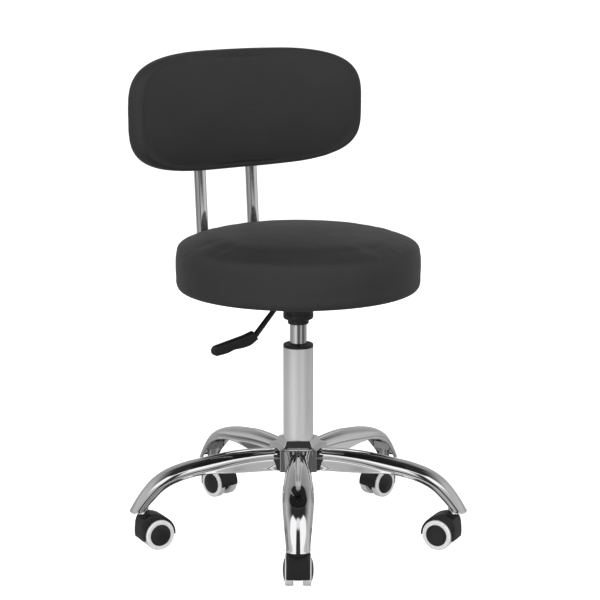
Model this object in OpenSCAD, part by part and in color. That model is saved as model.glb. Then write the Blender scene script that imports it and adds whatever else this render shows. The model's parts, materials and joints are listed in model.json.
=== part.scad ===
// Rolling stylist stool: chromed five-leg base on twin-wheel casters, gas lift with a release
// lever, round padded seat and a curved padded backrest on two bent tubes.
// Millimetres. +Z is up, the origin is on the floor on the column's axis and -Y is the front.
// Leg 4 points straight back, under the backrest.

/* [Base] */
// Number of legs
leg_count = 5; // [5:1:5]
// Direction of leg 1, in degrees from +X
first_leg_angle = -126; // [-126:72:162]
// Radius from the column's axis to the tip of a leg
leg_reach = 288; // [280:1:300]
// Height of the top of a leg where it leaves the hub
leg_root_top = 152; // [148:1:156]
// Height of the open lower edge of a leg at the hub
leg_root_bottom = 119; // [114:1:124]
// Height of the lower edge at the tip
leg_tip_bottom = 66; // [64:1:70]
// Width of a leg at the hub
leg_root_w = 43; // [38:1:44]
// Width of a leg at its widest
leg_mid_w = 49; // [45:1:52]
// Width of a leg at its tip
leg_tip_w = 38; // [34:1:42]
// Thickness of the pressed steel
leg_wall = 2; // [1.5:0.1:2.5]

/* [Hub] */
// Apothem of the five-sided hub, where the legs are welded on
hub_r = 41; // [38:0.5:44]
// Apothem of the steep collar on top of the hub
hub_collar_r = 32; // [28:0.5:34]
// Height of the top of the collar
hub_top = 167; // [164:1:172]

/* [Column and gas lift] */
// Outer diameter of the column tube
column_d = 50; // [46:1:52]
// Height of the top of the column tube
column_top = 321; // [300:1:340]
// Wall of the column tube
column_wall = 1.5; // [1:0.1:2]
// Diameter of the gas cylinder
lift_d = 28; // [26:1:30]
// Diameter of the piston rod
rod_d = 10; // [8:1:11]
// Lift travel
lift_travel = 120; // [80:5:125]

/* [Casters] */
// Diameter of the wheels over their tyres
wheel_d = 50; // [46:1:52]
// Radius from the column's axis to a caster's stem
stem_reach = 265; // [258:1:267]
// Distance from the stem's axis back to the axle
caster_trail = 20; // [16:1:21]
// Direction in which each caster's closed back points, in degrees, one for each leg
caster_heading = [-126, -63, 9, 99, 174];
// Diameter of the stem
stem_d = 10; // [9:0.5:11]

/* [Seat] */
// Largest diameter of the seat cushion
seat_d = 400; // [380:1:404]
// Height of the underside of the seat
seat_bottom = 422; // [420:1:430]
// Height of the crown of the seat
seat_top = 513; // [500:1:520]
// Thickness of the seat's plywood board
seat_board_t = 12; // [9:1:15]

/* [Backrest] */
// Width of the backrest along its curve
back_w = 466; // [440:2:480]
// Height of the backrest
back_h = 199; // [180:1:210]
// Thickness of the backrest at its middle
back_t = 60; // [50:1:64]
// Thickness of the backrest at its edge
back_edge_t = 32; // [24:1:40]
// Radius of the backrest's curve, seen from above
back_curve_r = 700; // [600:10:900]
// Distance from the column's axis to the middle of the backrest's thickness
back_y = 170; // [168:1:174]
// Height of the backrest's centre
back_z = 700; // [680:1:710]
// Diameter of the two tubes
tube_d = 20; // [18:1:20]
// Distance between the two tubes
tube_gap = 105; // [95:1:115]

/* [Hidden] */

$fn = 96;
through = 1;            // how far a cutter runs past the face it cuts
fit = 0.05;             // running clearance on a radius

chrome = "gainsboro";
satin = "lightgray";
black = "#2b2b2d";
leatherette = "#3c3c3e";
white = "whitesmoke";
plywood = "#2f2a27";

// --- Outlines ---------------------------------------------------------------------------------

curve_steps = 10;

// A point of a cubic Bezier curve
function bezier(a, b, c, d, t) =
    pow(1 - t, 3) * a + 3 * t * pow(1 - t, 2) * b + 3 * pow(t, 2) * (1 - t) * c + pow(t, 3) * d;

// The points of a cubic Bezier curve after its first
function curve(a, b, c, d, n = curve_steps) = [for (i = [1:n]) bezier(a, b, c, d, i / n)];

// --- Legs -------------------------------------------------------------------------------------

leg_start = hub_r;                          // the root's end face, on a side of the hub
leg_widest = leg_start + 0.55 * (leg_reach - leg_start);
leg_round = leg_reach - leg_tip_w / 2;      // centre of the tip's round end
leg_knee = 119;                             // the top runs level to here, then bends down
leg_knee_bottom = 168;                      // the lower edge turns down here
rib_w = 11;
rib_h = 2.6;
rib_end = 160;

// Top line of a leg from the root to the tip, as [radius, height]; inset moves it inwards
function leg_top(inset = 0) = concat(
    [[leg_start - inset, leg_root_top - 3 - inset]],
    [[leg_knee - 29, leg_root_top - 1.8 - inset]],
    [[leg_knee, leg_root_top - 2.4 - inset]],
    curve([leg_knee, leg_root_top - 2.4 - inset],
          [leg_reach - 60 - inset, leg_root_top - 13.6 - inset],
          [leg_reach - 40 - inset, leg_root_top - 22 - inset],
          [leg_reach - inset, leg_tip_bottom + 1.5 - inset], 16));

// Lower edge of a leg from the tip back to the root
function leg_bottom() = concat(
    [[leg_reach - 18, leg_tip_bottom]],
    curve([leg_reach - 18, leg_tip_bottom],
          [leg_reach - 32, leg_tip_bottom + 8],
          [leg_reach - 44, leg_root_bottom + 2.5],
          [leg_knee_bottom, leg_root_bottom + 6.2]),
    [[leg_knee, leg_root_bottom + 2.5], [leg_start, leg_root_bottom - 1]]);

// Plan of a leg: a slim leaf with a round tip
module leg_plan(inset = 0) {
    side = concat(
        [[leg_start - inset, leg_root_w / 2 - inset]],
        curve([leg_start - inset, leg_root_w / 2 - inset],
              [leg_start + 50, leg_root_w / 2 + 1.5 - inset],
              [leg_widest - 45, leg_mid_w / 2 - inset],
              [leg_widest, leg_mid_w / 2 - inset], 8),
        curve([leg_widest, leg_mid_w / 2 - inset],
              [leg_widest + 40, leg_mid_w / 2 - inset],
              [leg_round - 30, leg_tip_w / 2 + 0.8 - inset],
              [leg_round, leg_tip_w / 2 - inset], 8));
    polygon(concat(side, [for (i = [len(side) - 1:-1:0]) [side[i].x, -side[i].y]]));
    translate([leg_round, 0]) circle(leg_tip_w / 2 - inset);
}

// A profile drawn as [radius, height] and given a width across the leg
module across(w) {
    rotate([90, 0, 0]) translate([0, 0, -w / 2]) linear_extrude(w) children();
}

module leg() {
    difference() {
        union() {
            intersection() {
                linear_extrude(200) leg_plan();
                across(80) polygon(concat(leg_top(), leg_bottom()));
            }
            leg_rib();
        }
        intersection() {
            translate([0, 0, -through]) linear_extrude(200) leg_plan(leg_wall);
            across(80) polygon(concat(
                leg_top(leg_wall), [[leg_reach, 0], [leg_start - leg_wall, 0]]));
        }
    }
}

// Raised rib along the top of a leg, fading out half way along
module leg_rib() {
    across(rib_w) polygon([
        [leg_start, leg_root_top - 4], [leg_start, leg_root_top - 3 + rib_h],
        [leg_knee - 29, leg_root_top - 1.8 + rib_h], [rib_end, leg_root_top - 7.4],
        [leg_knee, leg_root_top - 3.4]]);
}

function leg_angle(i) = first_leg_angle + (i - 1) * 360 / leg_count;

module base_leg(i) color(chrome) rotate(leg_angle(i)) leg();

// --- Hub, sleeves and column ------------------------------------------------------------------

hub_bottom = leg_root_bottom - 2;
hub_shoulder_z = leg_root_top + 1.5;          // top of the upright sides
hub_collar_z = hub_top - 11;                // foot of the collar
hub_wall = 3;

// A regular five-sided prism or pyramid whose flats face the legs
module pentagon(apothem_low, apothem_high, h) {
    rotate(first_leg_angle + 36)
        cylinder(h = h, r1 = apothem_low / cos(36), r2 = apothem_high / cos(36), $fn = 5);
}

// Hollow pressing, open underneath, with an inner sleeve that grips the column
module base_hub() color(chrome) difference() {
    union() {
        translate([0, 0, hub_bottom]) pentagon(hub_r, hub_r, hub_shoulder_z - hub_bottom);
        translate([0, 0, hub_shoulder_z])
            pentagon(hub_r, hub_collar_r, hub_collar_z - hub_shoulder_z);
        translate([0, 0, hub_collar_z])
            pentagon(hub_collar_r, column_d / 2 + 1, hub_top - hub_collar_z);
    }
    difference() {
        translate([0, 0, hub_bottom - through])
            pentagon(hub_r - hub_wall, hub_r - hub_wall, hub_shoulder_z - hub_bottom - hub_wall);
        translate([0, 0, hub_bottom - 2 * through]) cylinder(h = 100, d = column_d + 2 * hub_wall);
    }
    translate([0, 0, hub_bottom - through])
        cylinder(h = hub_top - hub_bottom + 2 * through, d = column_d);
}

sleeve_d = stem_d + 6;
sleeve_bottom = 70;
sleeve_top = 99;
stem_bottom = 38;
stem_top = 86;
stem_collar_z = 66;
stem_collar_d = 15;

module at_stems() {
    for (i = [1:leg_count]) rotate(leg_angle(i)) translate([stem_reach, 0, 0]) children();
}

// Steel sleeve welded inside each leg's tip, cut to the slope of the leg, with a web across the leg
module stem_sleeves() color(satin) at_stems() difference() {
    union() {
        intersection() {
            translate([0, 0, sleeve_bottom]) cylinder(h = sleeve_top - sleeve_bottom, d = sleeve_d);
            translate([-stem_reach, 0, 0]) across(80) polygon(concat(
                leg_top(leg_wall + 0.6), [[leg_reach - 4, 0], [leg_start - leg_wall, 0]]));
        }
        translate([-12, -leg_tip_w / 2 + leg_wall + 0.6, 84]) cube([6, leg_tip_w - 2 * leg_wall - 1.2, 12]);
    }
    translate([0, 0, sleeve_bottom - through]) cylinder(h = stem_top - sleeve_bottom + through, d = stem_d);
}

// Stems pressed into the sleeves; the caster hoods turn on their lower ends
module caster_stems() color(satin) at_stems() {
    translate([0, 0, stem_bottom]) cylinder(h = stem_top - stem_bottom, d = stem_d);
    translate([0, 0, stem_collar_z]) cylinder(h = 3, d = stem_collar_d);
}

column_floor_t = 3;
rod_hole_d = 12;

module column_tube() color(satin) difference() {
    translate([0, 0, hub_bottom]) cylinder(h = column_top - hub_bottom, d = column_d);
    translate([0, 0, hub_bottom + column_floor_t])
        cylinder(h = column_top, d = column_d - 2 * column_wall);
    translate([0, 0, hub_bottom - through]) cylinder(h = column_floor_t + 2 * through, d = rod_hole_d);
}

bushing_lip = 5;
bushing_length = 55;

// Black plastic guide in the top of the column, with a lip that shows
module column_bushing() color(black) difference() {
    union() {
        translate([0, 0, column_top]) cylinder(h = bushing_lip, d = column_d);
        translate([0, 0, column_top - bushing_length])
            cylinder(h = bushing_length, d = column_d - 2 * column_wall);
    }
    translate([0, 0, column_top - bushing_length - through])
        cylinder(h = bushing_length + bushing_lip + 2 * through, d = lift_d + 2 * fit);
}

bearing_z = hub_bottom + column_floor_t;
bearing_t = 4;

module thrust_bearing() color(satin) translate([0, 0, bearing_z]) difference() {
    cylinder(h = bearing_t, d = 26);
    translate([0, 0, -through]) cylinder(h = bearing_t + 2 * through, d = rod_d + 2 * fit);
}

// --- Gas lift ---------------------------------------------------------------------------------

rod_bottom = hub_bottom - 6;
rod_top = 296;
rod_shoulder_d = 20;
piston_t = 9;
lift_bottom = 150;
lift_top = 392;
lift_bore_d = lift_d - 4;
lift_bore_bottom = lift_bottom + 8;
lift_bore_top = rod_top + 8;
button_d = 8;
button_seat = lift_top - 8;
button_top = 399.4;

// Rod with its shoulder on the thrust bearing, its clip under the column's floor and its piston
module piston_rod() color(satin) {
    translate([0, 0, rod_bottom]) cylinder(h = rod_top - rod_bottom, d = rod_d);
    translate([0, 0, rod_bottom + 1.5]) cylinder(h = 2, d = 18);
    translate([0, 0, bearing_z + bearing_t + 0.1]) cylinder(h = 6, d = rod_shoulder_d);
    translate([0, 0, rod_top - piston_t]) cylinder(h = piston_t, d = lift_bore_d - 2 * fit);
}

module gas_cylinder() color(chrome) difference() {
    translate([0, 0, lift_bottom]) cylinder(h = lift_top - lift_bottom, d = lift_d);
    translate([0, 0, lift_bore_bottom])
        cylinder(h = lift_bore_top - lift_bore_bottom, d = lift_bore_d);
    translate([0, 0, lift_bottom - through]) cylinder(h = 20, d = rod_d + 2 * fit);
    translate([0, 0, button_seat]) cylinder(h = 20, d = button_d + 2 * fit);
}

module release_button() color(satin)
    translate([0, 0, button_seat + 4.5]) cylinder(h = button_top - button_seat - 4.5, d = button_d);

// --- Seat mechanism ---------------------------------------------------------------------------

socket_bottom = 360;
socket_step = 368;
socket_top = 396;
socket_low_d = 35;
socket_d = 50;
plate_t = 3;
plate_z = seat_bottom - plate_t;
plate_w = 160;
ear_y = 11;
ear_t = 3;
ear_w = 78;
lever_z = 404;
lever_pin_x = -25;
lever_d = 8;
lever_pin_d = 5;
bolt_d = 6;
plate_bolt_at = 70;
tube_bolt_y = [52, 68];

// Black cup that holds the gas cylinder's top: a tube with a narrow lower step and a round edge
module lift_socket() color(black) rotate_extrude() difference() {
    union() {
        translate([lift_d / 2, socket_bottom]) square([(socket_low_d - lift_d) / 2, 10]);
        translate([lift_d / 2, socket_step + 3]) square([(socket_d - lift_d) / 2, socket_top - socket_step - 3]);
        translate([lift_d / 2, socket_step]) square([(socket_d - lift_d) / 2 - 3, 4]);
        translate([socket_d / 2 - 3, socket_step + 3]) circle(3);
    }
    square([lift_d / 2, 500]);
}

// Pressed plate under the seat, with two ears that carry the lever's pin and sit on the socket
module seat_plate() color(black) difference() {
    union() {
        translate([-plate_w / 2, -plate_w / 2, plate_z]) cube([plate_w, plate_w, plate_t]);
        for (side = [-1, 1])
            translate([-ear_w / 2, side * (ear_y + ear_t / 2) - ear_t / 2, socket_top])
                cube([ear_w, ear_t, plate_z - socket_top]);
    }
    for (x = [-1, 1], y = [-1, 1])
        translate([x * plate_bolt_at, y * plate_bolt_at, plate_z - through])
            cylinder(h = plate_t + 2 * through, d = bolt_d);
    for (x = [-1, 1], y = tube_bolt_y)
        translate([x * tube_gap / 2, y, plate_z - through])
            cylinder(h = plate_t + 2 * through, d = bolt_d);
    translate([lever_pin_x, 0, lever_z]) rotate([90, 0, 0])
        cylinder(h = 60, d = lever_pin_d, center = true);
}

module lever_pin() color(satin) translate([lever_pin_x, 0, lever_z]) rotate([90, 0, 0])
    cylinder(h = 2 * (ear_y + ear_t) + 4, d = lever_pin_d, center = true);

// Lever centre line: level over the button, then down at 45 degrees to the grip
lever_inner_x = 5;
lever_bend_x = -33;
lever_elbow_x = -92;
lever_drop = [lever_elbow_x, lever_z - (lever_bend_x - lever_elbow_x)];

// Direction change at b on the way from a to c, in degrees, positive to the left
function turn(a, b, c) = atan2(cross(b - a, c - b), (b - a) * (c - b));

function unit(v) = v / norm(v);

// Distance from corner i of a line to where its bend starts; none at the two ends
function cut_back(line, i, radius) =
    i == 0 || i == len(line) - 1 ? 0
    : radius * tan(abs(turn(line[i - 1], line[i], line[i + 1])) / 2);

// A round bar in the XY plane that follows a line of points, with an arc at each corner. The arcs
// are a hair thicker than the straights, which run a little way into them.
arc_swell = 0.3;
overlap = 0.7;
module bent_bar(line, radius, d) {
    last = len(line) - 1;
    for (i = [0:last - 1]) {
        along = unit(line[i + 1] - line[i]);
        from = line[i] + along * (cut_back(line, i, radius) - (i == 0 ? 0 : overlap));
        to = line[i + 1] - along * (cut_back(line, i + 1, radius) - (i + 1 == last ? 0 : overlap));
        translate(from) rotate([0, 90, atan2(along.y, along.x)]) cylinder(h = norm(to - from), d = d);
    }
    for (i = [1:last - 1]) {
        bend = turn(line[i - 1], line[i], line[i + 1]);
        along = unit(line[i] - line[i - 1]);
        start = line[i] - along * cut_back(line, i, radius);
        centre = start + sign(bend) * radius * [-along.y, along.x];
        spoke = start - centre;
        translate(centre) rotate(atan2(spoke.y, spoke.x) + min(bend, 0))
            rotate_extrude(angle = abs(bend)) translate([radius, 0]) circle(d = d + arc_swell);
    }
}

lever_line = [[lever_inner_x, lever_z], [lever_bend_x, lever_z], lever_drop, lever_drop + [-22, -4]];
lever_bend_r = 9;

// Puts what is drawn as [x, height] upright in the plane Y = 0
module upright_x() rotate([90, 0, 0]) children();

module lever_rod() color(black) difference() {
    union() {
        upright_x() bent_bar(lever_line, lever_bend_r, lever_d);
        translate([lever_pin_x, 0, lever_z]) rotate([90, 0, 0])
            cylinder(h = 2 * ear_y - 1, d = lever_d + 5, center = true);
    }
    translate([lever_pin_x, 0, lever_z]) rotate([90, 0, 0])
        cylinder(h = 60, d = lever_pin_d + 2 * fit, center = true);
}

grip_t = 12;
grip_tip = [-161, 336.5];
grip_tip_r = 8.5;
grip_slope = 11;
grip_root_low = [-79, 344.5];
grip_root_high = [-91, 359.5];

// Side view of the paddle grip as [x, height]: a root cut square to the rod, a finger hollow
// underneath and a round tip
module grip_outline() {
    across_tip = grip_tip_r * [-sin(grip_slope), cos(grip_slope)];
    tip_high = grip_tip + across_tip;
    tip_low = grip_tip - across_tip;
    hollow = [-114, 334.5];
    polygon(concat(
        [grip_root_low, grip_root_high],
        curve(grip_root_high, grip_root_high + [-18, -3], tip_high + [22, 5], tip_high),
        [tip_low],
        curve(tip_low, tip_low + [16, 2], hollow + [-10, -1], hollow),
        curve(hollow, hollow + [10, 1], grip_root_low + [-10, -6], grip_root_low)));
    translate(grip_tip) circle(grip_tip_r);
}

module lever_grip() color(black) difference() {
    translate([0, grip_t / 2, 0]) upright_x() linear_extrude(grip_t) grip_outline();
    upright_x() bent_bar(lever_line, lever_bend_r, lever_d);
}

// --- Seat -------------------------------------------------------------------------------------

board_r = seat_d / 2 - 16;
board_bolt_depth = 9;
seat_edge_r = 14;
seat_seam_z = seat_top - 24;
bolt_head_d = 11;
bolt_head_h = 4;

module seat_board() color(plywood) difference() {
    translate([0, 0, seat_bottom]) cylinder(h = seat_board_t, r = board_r);
    board_bolt_holes();
}

module board_bolt_holes() {
    for (x = [-1, 1], y = [-1, 1])
        translate([x * plate_bolt_at, y * plate_bolt_at, seat_bottom - through])
            cylinder(h = board_bolt_depth + through, d = bolt_d);
    for (x = [-1, 1], y = tube_bolt_y)
        translate([x * tube_gap / 2, y, seat_bottom - through])
            cylinder(h = board_bolt_depth + through, d = bolt_d);
}

// One bolt pointing up, its head's top at z = 0
module bolt(length) {
    cylinder(h = length, d = bolt_d);
    translate([0, 0, -bolt_head_h]) cylinder(h = bolt_head_h, d = bolt_head_d);
}

module seat_bolts() color(satin) for (x = [-1, 1], y = [-1, 1])
    translate([x * plate_bolt_at, y * plate_bolt_at, plate_z]) bolt(plate_t + board_bolt_depth);

// Half section of the cushion: bulged side, rounded lower edge, seam edge and a low crown
module seat_section() {
    r = seat_d / 2;
    polygon(concat(
        [[0, seat_bottom + seat_board_t], [board_r, seat_bottom + seat_board_t], [board_r, seat_bottom]],
        [[r - 10 - seat_edge_r * 0.3, seat_bottom]],
        curve([r - 10 - seat_edge_r * 0.3, seat_bottom], [r - 6, seat_bottom + 2],
              [r, seat_bottom + 18], [r, seat_bottom + 38]),
        curve([r, seat_bottom + 38], [r, seat_bottom + 54], [r - 1, seat_seam_z - 4],
              [r - 4, seat_seam_z], 6),
        curve([r - 4, seat_seam_z], [r - 12, seat_top - 10], [r - 60, seat_top], [0, seat_top], 14)));
}

module seat_cushion() color(leatherette) rotate_extrude($fn = 180) seat_section();

// --- Backrest ---------------------------------------------------------------------------------

tube_low_z = plate_z - tube_d / 2;          // centre line under the seat
tube_bend_r = 30;
tube_wall = 1.5;
tube_back_y = 204;                          // centre line beside the seat's rim
tube_lean_z = [465, 640];                   // the tube leans back between these heights
tube_top_y = 215;
tube_top_z = 752;
tube_front_y = 40;

// A tube's centre line as [distance back, height]
tube_line = [
    [tube_front_y, tube_low_z], [tube_back_y, tube_low_z], [tube_back_y, tube_lean_z[0]],
    [tube_top_y, tube_lean_z[1]], [tube_top_y, tube_top_z]];

// Puts what is drawn as [distance back, height] upright in a plane of constant X
module upright_y() rotate([90, 0, 90]) children();

module tube(side) translate([side * tube_gap / 2, 0, 0]) difference() {
    upright_y() bent_bar(tube_line, tube_bend_r, tube_d);
    upright_y() bent_bar(tube_line, tube_bend_r, tube_d - 2 * tube_wall);
    for (y = tube_bolt_y) translate([0, y, tube_low_z - tube_d]) cylinder(h = 2 * tube_d, d = bolt_d);
    for (z = back_screw_z) translate([0, tube_top_y - tube_d, z])
        rotate([-90, 0, 0]) cylinder(h = 2 * tube_d, d = screw_d);
}

module back_tube_left() color(chrome) tube(1);
module back_tube_right() color(chrome) tube(-1);

module tube_bolts() color(satin) for (x = [-1, 1], y = tube_bolt_y)
    translate([x * tube_gap / 2, y, tube_low_z - tube_d / 2]) bolt(tube_d + plate_t + board_bolt_depth);

screw_d = 5;
back_screw_z = [672, 728];
back_plate_t = 4;
back_plate_w = 150;
back_plate_h = 96;
back_plate_y = tube_top_y - tube_d / 2 - back_plate_t;
back_board_t = 12;
back_screw_depth = 10;

// Flat steel plate between the tubes and the backrest's board
module back_plate() color(black) difference() {
    translate([-back_plate_w / 2, back_plate_y, back_z - back_plate_h / 2])
        cube([back_plate_w, back_plate_t, back_plate_h]);
    for (x = [-1, 1], z = back_screw_z) translate([x * tube_gap / 2, back_plate_y - through, z])
        rotate([-90, 0, 0]) cylinder(h = back_plate_t + 2 * through, d = screw_d);
}

// Screws from behind, through the tubes and the plate into the board
module back_screws() color(satin) for (x = [-1, 1], z = back_screw_z)
    translate([x * tube_gap / 2, tube_top_y + tube_d / 2, z]) rotate([90, 0, 0]) {
        cylinder(h = tube_d + back_plate_t + back_screw_depth, d = screw_d);
        translate([0, 0, -3]) cylinder(h = 3, d = 9);
    }

// Outline of the backrest in its own flat plane, a superellipse
back_power = 3.5;
outline_steps = 56;
function signed_pow(v, p) = sign(v) * pow(abs(v), p);
function back_point(a, half_w, half_h) = [
    half_w * signed_pow(cos(a), 2 / back_power),
    half_h * signed_pow(sin(a), 2 / back_power)];

module back_outline(inset) {
    polygon([for (i = [0:outline_steps - 1])
        back_point(i * 360 / outline_steps, back_w / 2 - inset, back_h / 2 - inset)]);
}

bend_centre_y = back_y - back_curve_r;
back_half_angle = back_w / 2 / back_curve_r * 180 / PI;
back_chord = back_curve_r * sin(back_half_angle);

// A curved slab between two radii, cut to the backrest's outline
module back_slab(r_in, r_out, inset) {
    intersection() {
        translate([0, bend_centre_y, back_z - back_h]) difference() {
            cylinder(h = 2 * back_h, r = r_out, $fn = 360);
            translate([0, 0, -through]) cylinder(h = 2 * back_h + 2 * through, r = r_in, $fn = 360);
        }
        translate([0, back_y + 100, back_z]) rotate([90, 0, 0]) linear_extrude(300)
            resize_outline() back_outline(inset);
    }
}

// The outline's width is measured along the curve, so its straight projection is narrower
module resize_outline() {
    scale([back_chord / (back_w / 2), 1]) children();
}

board_inset = 16;
board_back_inset = 3;
back_board_r = back_curve_r + back_t / 2 - board_back_inset;

module back_board() color(plywood) difference() {
    back_slab(back_board_r - back_board_t, back_board_r, board_inset);
    back_screw_holes();
}

module back_screw_holes() {
    for (x = [-1, 1], z = back_screw_z) translate([x * tube_gap / 2, 0, z])
        translate([0, back_plate_y - back_screw_depth, 0]) rotate([-90, 0, 0])
            cylinder(h = 60, d = screw_d);
}

// Padded body with its edges stepped in, closed round the board
module back_cushion() color(leatherette) difference() {
    union() {
        back_slab(back_curve_r - back_edge_t / 2, back_curve_r + back_edge_t / 2, 0);
        back_slab(back_curve_r - back_t / 2, back_curve_r + back_t / 2, 12);
    }
    back_slab(back_board_r - back_board_t, back_board_r, board_inset);
    back_screw_holes();
}

// --- Casters ----------------------------------------------------------------------------------

wheel_r = wheel_d / 2;
axle_d = 6;
tyre_w = 13;
tyre_y = 14;                                // middle of a tyre, from the caster's middle
tyre_bore_r = 18;
wheel_inner_y = 7.4;
wheel_outer_y = 24;
cap_r = 18;
hood_w = 37;
hood_gap = 1.6;
hood_rear_x = 9.8;
hood_rear_z = 18.5;
hood_front_z = 26;
hood_top_z = 60.5;
web_w = 13;
boss_d = 18;
boss_top = 65;
axle_x = -caster_trail;
hood_front_x = axle_x - wheel_r - 3.3;

// Moves a caster's own frame to leg i: +X is its closed back, the stem is at the origin
module at_caster(i) {
    rotate(leg_angle(i)) translate([stem_reach, 0, 0])
        rotate(caster_heading[i - 1] - leg_angle(i)) children();
}

// A disc or ring about the axle, between two distances from the caster's middle
module about_axle(y0, y1, r, r_in = 0) {
    translate([axle_x, y1, wheel_r]) rotate([90, 0, 0]) difference() {
        cylinder(h = y1 - y0, r = r);
        if (r_in > 0) translate([0, 0, -through]) cylinder(h = y1 - y0 + 2 * through, r = r_in);
    }
}

// Hood: a humped cover over both wheels, a web between them and a boss for the stem
module caster_hood(i) color(black) at_caster(i) difference() {
    union() {
        difference() {
            across(hood_w) polygon(hood_outline());
            about_axle(-hood_w, hood_w, wheel_r + hood_gap);
        }
        intersection() {
            about_axle(-web_w / 2, web_w / 2, wheel_r + hood_gap + 1);
            translate([axle_x - 12, -web_w / 2, 12]) cube([60, web_w, 60]);
        }
        translate([0, 0, stem_bottom - 4]) cylinder(h = boss_top - stem_bottom + 4, d = boss_d - 5);
        translate([0, 0, hood_top_z - 6]) cylinder(h = boss_top - hood_top_z + 6, d = boss_d);
    }
    translate([0, 0, stem_bottom - 0.5]) cylinder(h = 60, d = stem_d + 2 * fit);
    about_axle(-30, 30, axle_d / 2);
}

// Side view of the hood as [distance from the stem, height], from the closed back to the front lip
function hood_outline() = concat(
    [[axle_x, hood_rear_z], [hood_rear_x - 0.6, hood_rear_z], [hood_rear_x, hood_front_z]],
    curve([hood_rear_x, hood_top_z - 20], [hood_rear_x, hood_top_z - 5],
          [3, hood_top_z], [-6, hood_top_z], 10),
    curve([-6, hood_top_z], [-28, hood_top_z],
          [hood_front_x, hood_top_z - 16], [hood_front_x, hood_front_z], 16),
    [[axle_x, hood_front_z]]);

module caster_axle(i) color(satin) at_caster(i) about_axle(-21, 21, axle_d / 2);

// Plastic wheel: hub, disc and a domed outer face
module wheel(i, side) color(black) at_caster(i) mirror([0, side < 0 ? 1 : 0, 0]) difference() {
    union() {
        about_axle(wheel_inner_y, tyre_y + tyre_w / 2, tyre_bore_r);
        translate([axle_x, 0, wheel_r]) intersection() {
            rotate([-90, 0, 0]) cylinder(h = wheel_outer_y, r = cap_r);
            translate([0, wheel_outer_y - dome_r, 0]) sphere(r = dome_r);
            translate([-50, tyre_y + tyre_w / 2 - 1, -50]) cube(100);
        }
    }
    about_axle(wheel_inner_y - through, 21.6, axle_d / 2 + fit);
}

dome_r = 60;

module tyre(i, side) color(white) at_caster(i) mirror([0, side < 0 ? 1 : 0, 0])
    translate([axle_x, 0, wheel_r]) rotate([-90, 0, 0]) rotate_extrude() difference() {
        translate([tyre_bore_r, tyre_y - tyre_w / 2]) square([wheel_r - tyre_bore_r, tyre_w]);
        for (end = [0, 1]) translate([wheel_r, tyre_y + (end - 0.5) * tyre_w]) rotate(45)
            square(2.6, center = true);
    }

// --- Output -----------------------------------------------------------------------------------

base_hub();
base_leg(1);  // base_leg_1
base_leg(2);  // base_leg_2
base_leg(3);  // base_leg_3
base_leg(4);  // base_leg_4
base_leg(5);  // base_leg_5
stem_sleeves();
caster_stems();
column_tube();
column_bushing();
thrust_bearing();
piston_rod();
gas_cylinder();
release_button();
lift_socket();
seat_plate();
lever_pin();
lever_rod();
lever_grip();
seat_board();
seat_bolts();
seat_cushion();
back_tube_left();
back_tube_right();
tube_bolts();
back_plate();
back_screws();
back_board();
back_cushion();
for (i = [1:leg_count]) {
    caster_hood(i);
    caster_axle(i);
    wheel(i, 1);
    wheel(i, -1);
    tyre(i, 1);
    tyre(i, -1);
}
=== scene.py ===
import json
from math import asin, atan2, cos, degrees, pi, radians, sin, tan

import bpy
import numpy as np
from mathutils import Matrix, Vector, kdtree, noise


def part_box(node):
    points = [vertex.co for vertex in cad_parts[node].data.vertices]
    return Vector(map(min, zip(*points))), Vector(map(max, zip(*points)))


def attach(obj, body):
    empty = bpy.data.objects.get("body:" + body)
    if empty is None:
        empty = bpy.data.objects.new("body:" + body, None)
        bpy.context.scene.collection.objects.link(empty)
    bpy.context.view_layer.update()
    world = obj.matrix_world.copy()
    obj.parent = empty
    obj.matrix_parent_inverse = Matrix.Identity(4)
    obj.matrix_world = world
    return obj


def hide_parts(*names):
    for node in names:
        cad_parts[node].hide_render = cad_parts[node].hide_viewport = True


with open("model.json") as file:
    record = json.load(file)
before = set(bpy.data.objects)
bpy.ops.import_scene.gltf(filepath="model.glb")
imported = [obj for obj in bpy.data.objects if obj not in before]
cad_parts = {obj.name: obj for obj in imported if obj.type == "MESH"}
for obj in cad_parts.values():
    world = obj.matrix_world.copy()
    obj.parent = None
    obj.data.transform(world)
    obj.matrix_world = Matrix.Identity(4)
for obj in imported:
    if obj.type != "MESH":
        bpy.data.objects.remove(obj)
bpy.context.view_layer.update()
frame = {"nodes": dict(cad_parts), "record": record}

MM = 0.001
SCENE = bpy.context.scene
JOINTS = {j["name"]: j for j in frame["record"]["behaviour"]["joints"]}
LEGS = (1, 2, 3, 4, 5)
LEG_STEP = radians(72)

# The camera stands to the sitter's right of the front and looks along AHEAD, tipped down a little
CAMERA_TURN = radians(36)
RIGHT = Vector((cos(CAMERA_TURN), -sin(CAMERA_TURN), 0))
AHEAD = Vector((sin(CAMERA_TURN), cos(CAMERA_TURN), 0))


# --- Mesh helpers: every outline is in millimetres, in the row frame unless it says otherwise ---

def cad_box(node):
    """The low and high corners of a CAD node's box."""
    return tuple(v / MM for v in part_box(node))


def blend01(x):
    """0 below 0, 1 above 1 and smooth between."""
    x = np.clip(x, 0, 1)
    return x * x * (3 - 2 * x)


def through(keys, places):
    """A smooth curve through the keys (x, value, value...), read at each of the places given."""
    keys = np.array(keys, float)
    x, values = keys[:, 0], keys[:, 1:]
    slopes = np.gradient(values, x, axis=0)
    k = np.clip(np.searchsorted(x, places) - 1, 0, len(x) - 2)
    step = (x[k + 1] - x[k])[:, None]
    t = ((places - x[k])[:, None]) / step
    return (values[k] * (2 * t**3 - 3 * t**2 + 1) + slopes[k] * step * (t**3 - 2 * t**2 + t)
            + values[k + 1] * (3 * t**2 - 2 * t**3) + slopes[k + 1] * step * (t**3 - t**2))


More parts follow.
